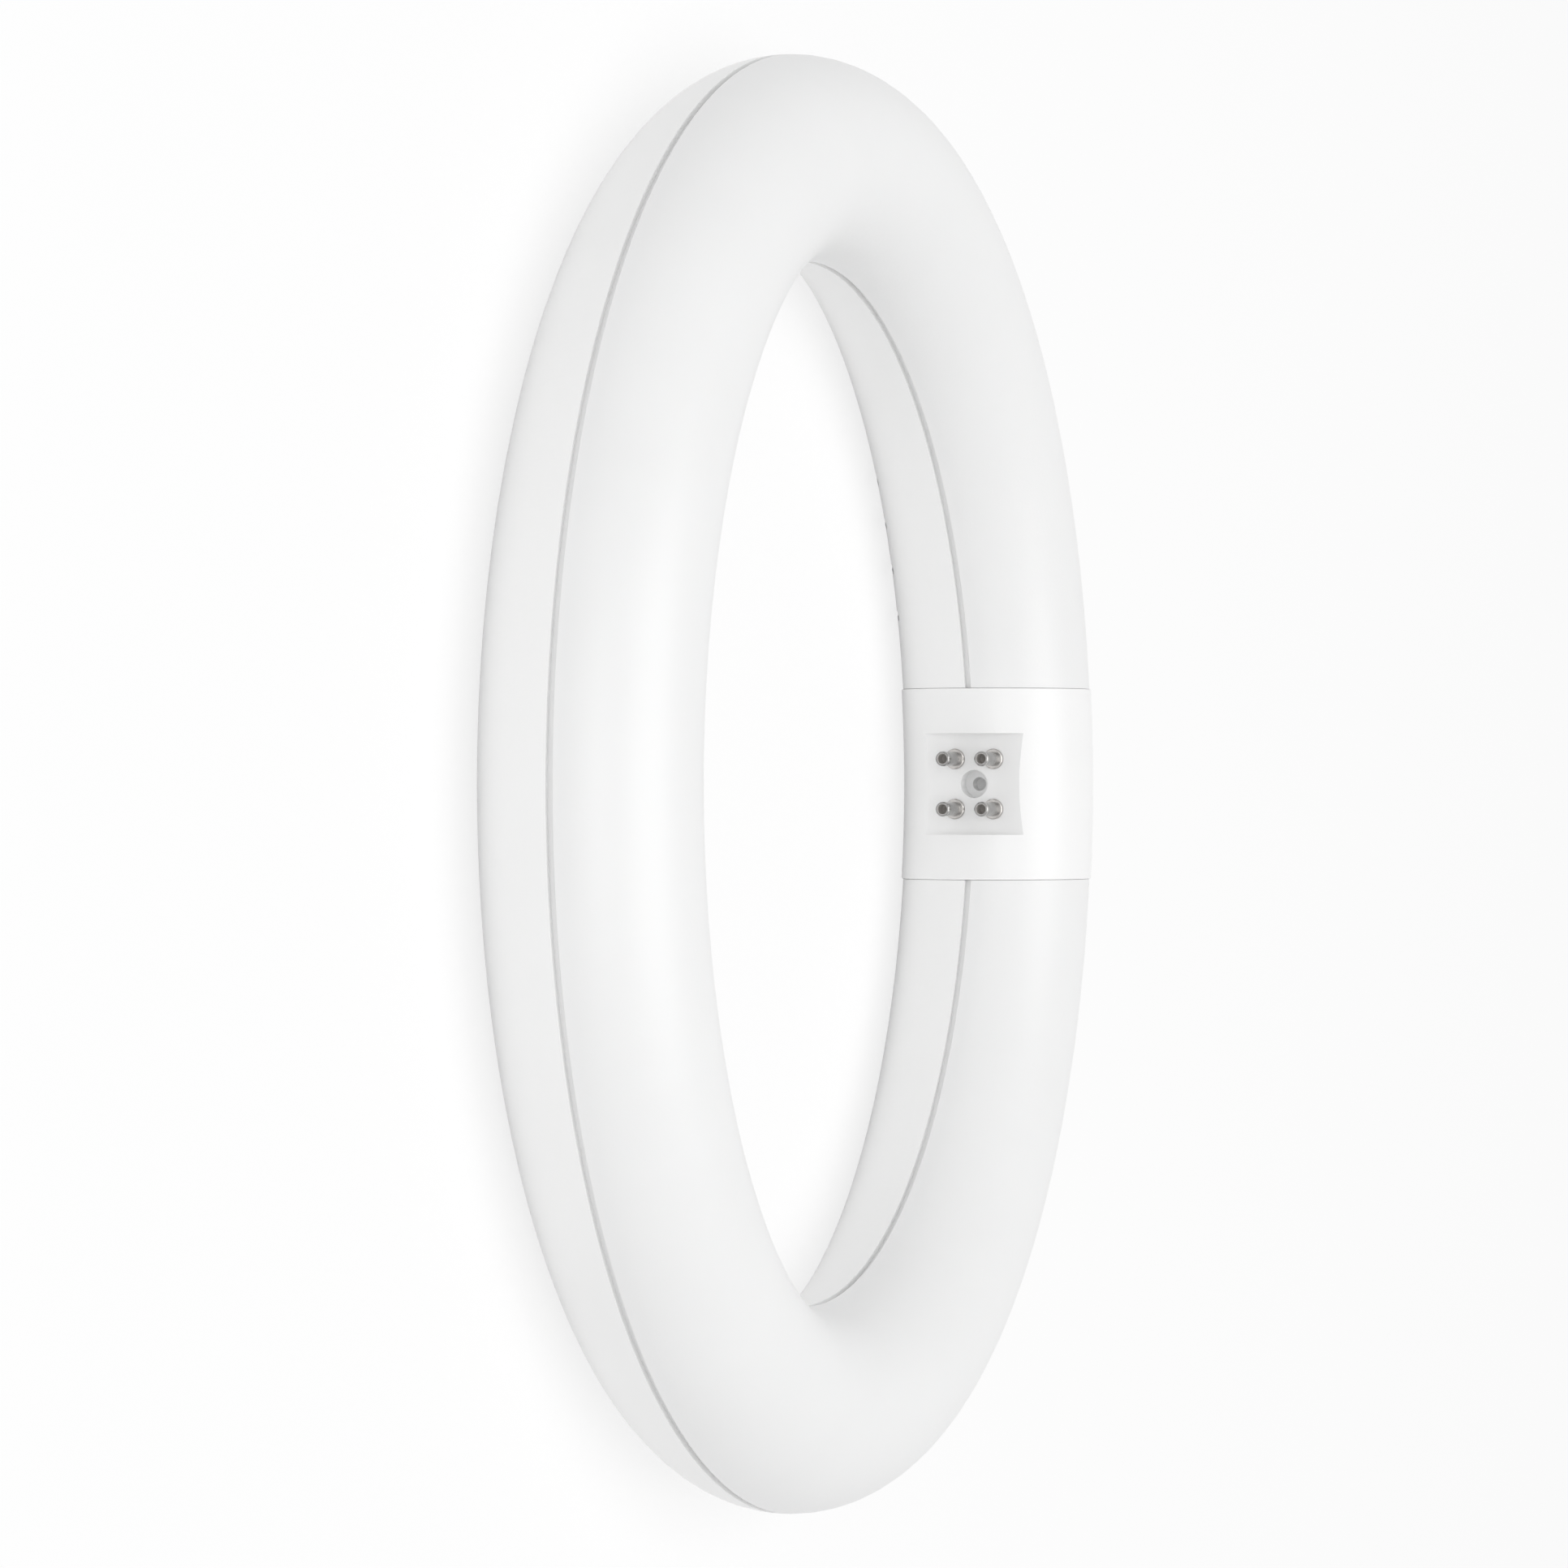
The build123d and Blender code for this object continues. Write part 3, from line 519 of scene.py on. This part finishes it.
def plainPart(name, piece):
    look = newLook(name)
    coarse = look.blotches(piece["blotch"])
    fine = look.grain(piece["blotch"] / plainFineness)
    dullness, relief = (shared(coarse, fine, share) for share in plainGrainShares)
    return look.done({
        "Base Color": look.mottled(piece["colour"], coarse, piece["change"]),
        "Roughness": look.ranged(dullness, *piece["roughness"]),
        "Normal": look.bump(relief, piece["depth"]),
    })


for slotName, piece in plainLooks.items():
    first, *others = slotName.split("_")
    finishes[slotName] = plainPart(first + "".join(word.capitalize() for word in others), piece)

# inductor: the turns stand side by side along the ring, with painted shade in the grooves between them
windingLook = {
    "colour": (0.42, 0.16, 0.05),
    # painted shade in the grooves between the turns
    "groove": (0.13, 0.04, 0.015),
    "wire": 0.00022,
    "depth": 0.00006,
    "coat": 0.5,
    "blotch": 0.0015,
    "roughness": (0.22, 0.34),
}


def woundWire(name, piece):
    look = newLook(name)
    crest = look.ridges(look.ringPlace()[1], piece["wire"])
    return look.done({
        # painted shade: the wire is painted darker in the grooves between turns
        "Base Color": look.mix(crest, piece["groove"], piece["colour"]),
        "Roughness": look.ranged(look.grain(piece["blotch"]), *piece["roughness"]),
        "Normal": look.bump(crest, piece["depth"]),
        "Coat Weight": piece["coat"],
    })


finishes["copper_winding"] = woundWire("enamelledWire", windingLook)

# packages on tinned feet: black resin, with a dimple or a band on top
footLooks = {
    # node: half the body across, then the mark's place across and along it, half its size
    "bridge_rectifier": {"body": 0.00238, "mark": (-0.0015, 0.0007), "half": (0.0003, 0.0003)},
    "control_chip": {"body": 0.00198, "mark": (-0.0012, 0.0008), "half": (0.0003, 0.0003)},
    "output_diode": {"body": 0.00218, "mark": (-0.0014, 0.0013), "half": (0.00022, 0.0014)},
}
resinLook = {
    "resin": (0.028, 0.028, 0.03),
    "change": 0.25,
    "mark": (0.34, 0.34, 0.34),
    "tin": (0.70, 0.70, 0.68),
    "grain": 0.0003,
    "depth": 0.000012,
    "roughness": (0.40, 0.58),
    "tinRoughness": 0.25,
}


def footedPackage(name, piece, footed):
    look = newLook(name)
    start = reachOf(name)[1][0]
    across, along, _ = look.ringPlace()
    foot = abs(across) > footed["body"]
    (markAcross, markAlong), (halfAcross, halfAlong) = footed["mark"], footed["half"]
    mark = ((abs(across - markAcross) < halfAcross) * (look.facing()[2] > squareLimit)
            * (abs(along - start - markAlong) < halfAlong))
    grain = look.blotches(piece["grain"])
    body = look.mix(mark, look.mottled(piece["resin"], grain, piece["change"]), piece["mark"])
    matt = look.ranged(grain, *piece["roughness"])
    return look.done({
        "Base Color": look.mix(foot, body, piece["tin"]),
        "Metallic": foot,
        "Roughness": shared(matt, piece["tinRoughness"], foot),
        "Normal": look.bump(grain * (1 - foot), piece["depth"]),
    })


for name, footed in footLooks.items():
    ownFinishes[name] = footedPackage(name, resinLook, footed)

# can capacitors: a shrunk wrap with a pale stripe, the bare end of the can, and a rubber bung
canLook = {
    "wrap": (0.02, 0.035, 0.085),
    "change": 0.15,
    "blotch": 0.003,
    "stripe": (0.55, 0.57, 0.60),
    "stripeHalf": 0.0009,
    "can": (0.74, 0.75, 0.76),
    "canRadius": 0.0026,
    "bung": (0.03, 0.03, 0.03),
    "legReach": 0.00108,        # of the legs along the ring, outside the bung
    "legHalf": 0.0018,          # from the middle line to the legs' outer sides
    "tin": (0.70, 0.70, 0.68),
    "roughness": (0.24, 0.36),
    "depth": 0.00002,
}


def wrappedCan(name, piece):
    look = newLook(name)
    _, (start, _), (bottom, top) = reachOf(name)
    x, y, _ = look.axes()
    across, along, up = look.ringPlace()
    faceX, faceY, _ = look.facing()
    rise = up - (bottom + top) / 2                                  # over the can's axis
    onwards = (faceY * x - faceX * y) / (across + middleRadius)     # of the normal, along the ring
    inCan = look.distance(across, rise) < piece["canRadius"]
    leg = (along < start + piece["legReach"]) * (abs(across) < piece["legHalf"])
    bareEnd = (onwards > squareLimit) * inCan
    bung = (onwards < -squareLimit) * inCan
    stripe = (abs(rise) < piece["stripeHalf"]) * (across > 0) * (abs(onwards) < sideLimit)
    blotch = look.blotches(piece["blotch"])
    wrap = look.mix(stripe, look.mottled(piece["wrap"], blotch, piece["change"]), piece["stripe"])
    skin = look.mix(bareEnd, look.mix(bung, wrap, piece["bung"]), piece["can"])
    return look.done({
        "Base Color": look.mix(leg, skin, piece["tin"]),
        "Metallic": look.maths("MAXIMUM", leg, bareEnd),
        "Roughness": look.ranged(blotch, *piece["roughness"]),
        "Normal": look.bump(blotch, piece["depth"]),
    })


for name in ("bulk_capacitor", "output_capacitor"):
    ownFinishes[name] = wrappedCan(name, canLook)

# fusible resistor: lacquer with colour bands, and tinned legs
brown, black, gold = (0.16, 0.055, 0.02), (0.012, 0.012, 0.012), (0.42, 0.25, 0.05)
fuseLook = {
    "lacquer": (0.20, 0.36, 0.27),
    "change": 0.1,
    "blotch": 0.0012,
    "bodyHalf": 0.00318,
    "bands": ((-0.0016, brown), (-0.0006, black), (0.0004, black), (0.0017, gold)),
    "bandHalf": 0.00022,
    "tin": (0.70, 0.70, 0.68),
    "roughness": (0.22, 0.36),
    "depth": 0.00003,
}


def bandedResistor(name, piece):
    look = newLook(name)
    across = look.ringPlace()[0]
    leg = abs(across) > piece["bodyHalf"]
    blotch = look.blotches(piece["blotch"])
    skin = look.mottled(piece["lacquer"], blotch, piece["change"])
    for place, colour in piece["bands"]:
        skin = look.mix(abs(across - place) < piece["bandHalf"], skin, colour)
    return look.done({
        "Base Color": look.mix(leg, skin, piece["tin"]),
        "Metallic": leg,
        "Roughness": look.ranged(blotch, *piece["roughness"]),
        "Normal": look.bump(blotch * (1 - leg), piece["depth"]),
    })


ownFinishes["fusible_resistor"] = bandedResistor("bandedResistor", fuseLook)

# filter choke: pressed ferrite, with the wire lying in turns between its flanges and painted shade in the grooves
# between the turns
chokeLook = {
    "ferrite": (0.055, 0.055, 0.058),
    "change": 0.2,
    "grain": 0.0005,
    "grainShare": 0.2,          # of the relief's depth
    "colour": (0.42, 0.16, 0.05),
    # painted shade in the grooves between the turns
    "groove": (0.13, 0.04, 0.015),
    "flange": 0.00102,
    "wire": 0.0003,
    "depth": 0.00008,
    "ferriteRough": 0.55,
    "wireRough": 0.28,
}


def woundDrum(name, piece):
    look = newLook(name)
    bottom, top = reachOf(name)[2]
    up = look.axes()[2]
    wound = (up > bottom + piece["flange"]) * (up < top - piece["flange"])
    crest = look.ridges(up, piece["wire"])
    grain = look.blotches(piece["grain"])
    core = look.mottled(piece["ferrite"], grain, piece["change"])
    # painted shade: the wire is painted darker in the grooves between turns
    coil = look.mix(crest, piece["groove"], piece["colour"])
    return look.done({
        "Base Color": look.mix(wound, core, coil),
        "Roughness": look.ranged(wound, piece["ferriteRough"], piece["wireRough"]),
        "Normal": look.bump(crest * wound + grain * piece["grainShare"], piece["depth"]),
    })


ownFinishes["filter_choke"] = woundDrum("filter_choke", chokeLook)

# input leads: pale insulation, and tinned strands where it is stripped off, at the pins
strandLook = {
    "insulation": (0.80, 0.80, 0.77),
    "change": 0.03,
    "blotch": 0.0012,
    "blotchShare": 0.2,         # of the relief's depth
    "tin": (0.70, 0.68, 0.64),
    "stripped": 0.003,
    "besidePins": 0.006,        # the most that a strand is off the middle of the cap
    "strand": 0.00016,
    "depth": 0.00004,
    "roughness": (0.28, 0.42),
}


def strippedLead(name, piece):
    look = newLook(name)
    lowest = min(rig.box(lead)[0].x for lead in inputLeads)
    x, y, z = look.axes()
    bare = (x < lowest + piece["stripped"]) * (abs(y) < piece["besidePins"])
    twist = look.ridges(x + y + z, piece["strand"])
    blotch = look.blotches(piece["blotch"])
    cover = look.mottled(piece["insulation"], blotch, piece["change"])
    return look.done({
        "Base Color": look.mix(bare, cover, piece["tin"]),
        "Metallic": bare,
        "Roughness": look.ranged(blotch, *piece["roughness"]),
        "Normal": look.bump(twist * bare + blotch * piece["blotchShare"], piece["depth"]),
    })


ownFinishes.update(dict.fromkeys(inputLeads, strippedLead("strippedLead", strandLook)))

for name, piece in nodes.items():
    for slot in piece.material_slots:
        slot.material = ownFinishes.get(name) or finishes[slot.material.name.split(".")[0]]
print("finishes: %d by slot, %d nodes with their own" % (len(finishes), len(ownFinishes)))

# floor, lamps and camera
stageLook = {
    "floorSize": 5.0,
    "floorColour": (0.97, 0.97, 0.97),
    "floorChange": 0.004,
    "floorBlotch": 0.05,
    "floorLift": 0.8,           # share of plain white that the camera sees in the floor
    "worldLevel": 0.52,         # of the light from all round
}
# each lamp's level is the light it gives a surface that faces it, where 1 shows a colour as it is
lampLooks = {
    "overhead": {"level": 0.46, "width": 1.4, "height": 1.2, "distance": 1.6,
                 "turn": 180, "elevation": 80},
    "frontSoftbox": {"level": 0.14, "width": 1.2, "height": 0.4, "distance": 1.6,
                     "turn": 180, "elevation": 25},
}
cameraLook = {
    "lens": 135.41,
    "sensor": 36.0,
    "distance": 0.85824,        # from the ring's middle along the view
    "aside": 0.00449,           # the ring's middle right of the view's middle
    "elevation": 19.226,        # of the view over the ring's plane, in degrees
}


# 1 where the camera sees the surface, straight, in a gloss or through glass
def whereSeen(look):
    straight, inGloss, throughGlass = look.split(
        "ShaderNodeLightPath", None, ("Is Camera Ray", "Is Glossy Ray", "Is Transmission Ray"))
    return look.maths("MAXIMUM", straight, look.maths("MAXIMUM", inGloss, throughGlass))


def whiteFloor(name, piece):
    look = newLook(name)
    blotch = look.blotches(piece["floorBlotch"])
    matt = look.add("ShaderNodeBsdfDiffuse", {},
                    {"Color": look.mottled(piece["floorColour"], blotch, piece["floorChange"])})
    plain = look.add("ShaderNodeEmission", {}, {"Color": white, "Strength": 1.0})
    lift = whereSeen(look) * piece["floorLift"]
    shader = look.add("ShaderNodeMixShader", {}, {0: lift, 1: matt, 2: plain})
    look.add("ShaderNodeOutputMaterial", {}, {"Surface": shader})
    return look.owner


floorHalf = stageLook["floorSize"] / 2
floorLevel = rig.bounds()[0][2]
floorMesh = bpy.data.meshes.new("floor")
floorMesh.from_pydata([(x * floorHalf, y * floorHalf, floorLevel)
                       for x, y in ((-1, -1), (1, -1), (1, 1), (-1, 1))], [], [(0, 1, 2, 3)])
floor = bpy.data.objects.new("floor", floorMesh)
bpy.context.collection.objects.link(floor)
floorMesh.materials.append(whiteFloor("whiteFloor", stageLook))
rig.stage(floor)

for name, lampLook in lampLooks.items():
    lampData = bpy.data.lights.new(name, "AREA")
    lampData.shape = "RECTANGLE"
    lampData.size, lampData.size_y = lampLook["width"], lampLook["height"]
    # a surface that faces the lamp gets energy / (pi distance^2) from it,
    # and one that gets pi shows its colour as it is
    lampData.energy = lampLook["level"] * (pi * lampLook["distance"]) ** 2
    lamp = bpy.data.objects.new(name, lampData)
    rise, turn = radians(lampLook["elevation"]), radians(lampLook["turn"])
    towards = Vector((cos(rise) * cos(turn), cos(rise) * sin(turn), sin(rise)))
    lamp.location = lampLook["distance"] * towards
    lamp.rotation_euler = towards.to_track_quat("Z", "Y").to_euler()
    bpy.context.collection.objects.link(lamp)

studio = Look(bpy.data.worlds.new("studio"))
level = studio.ranged(whereSeen(studio), stageLook["worldLevel"], 1.0)
sky = studio.add("ShaderNodeBackground", {}, {"Color": white, "Strength": level})
studio.add("ShaderNodeOutputWorld", {}, {"Surface": sky})
bpy.context.scene.world = studio.owner

# the view comes in over the side opposite the cap and looks towards it, turned so that +Y is up
tilt = radians(cameraLook["elevation"])
forward = Vector((cos(tilt), 0, -sin(tilt)))
aside = Vector((sin(tilt), 0, cos(tilt)))
upwards = Vector((0, 1, 0))
cameraData = bpy.data.cameras.new("camera")
cameraData.lens = cameraLook["lens"]
cameraData.sensor_width = cameraLook["sensor"]
camera = bpy.data.objects.new("camera", cameraData)
turned = Matrix((aside, upwards, -forward)).transposed().to_4x4()
place = -cameraLook["distance"] * forward - cameraLook["aside"] * aside
camera.matrix_world = Matrix.Translation(place) @ turned
bpy.context.collection.objects.link(camera)
bpy.context.scene.camera = camera
bpy.context.scene.view_settings.view_transform = "Standard"
print("stage: floor, %d lamps and camera" % len(lampLooks))

with open("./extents.json", "w") as sizes:
    json.dump({"cad": cadBox, "visual": [list(corner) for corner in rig.bounds()]}, sizes)
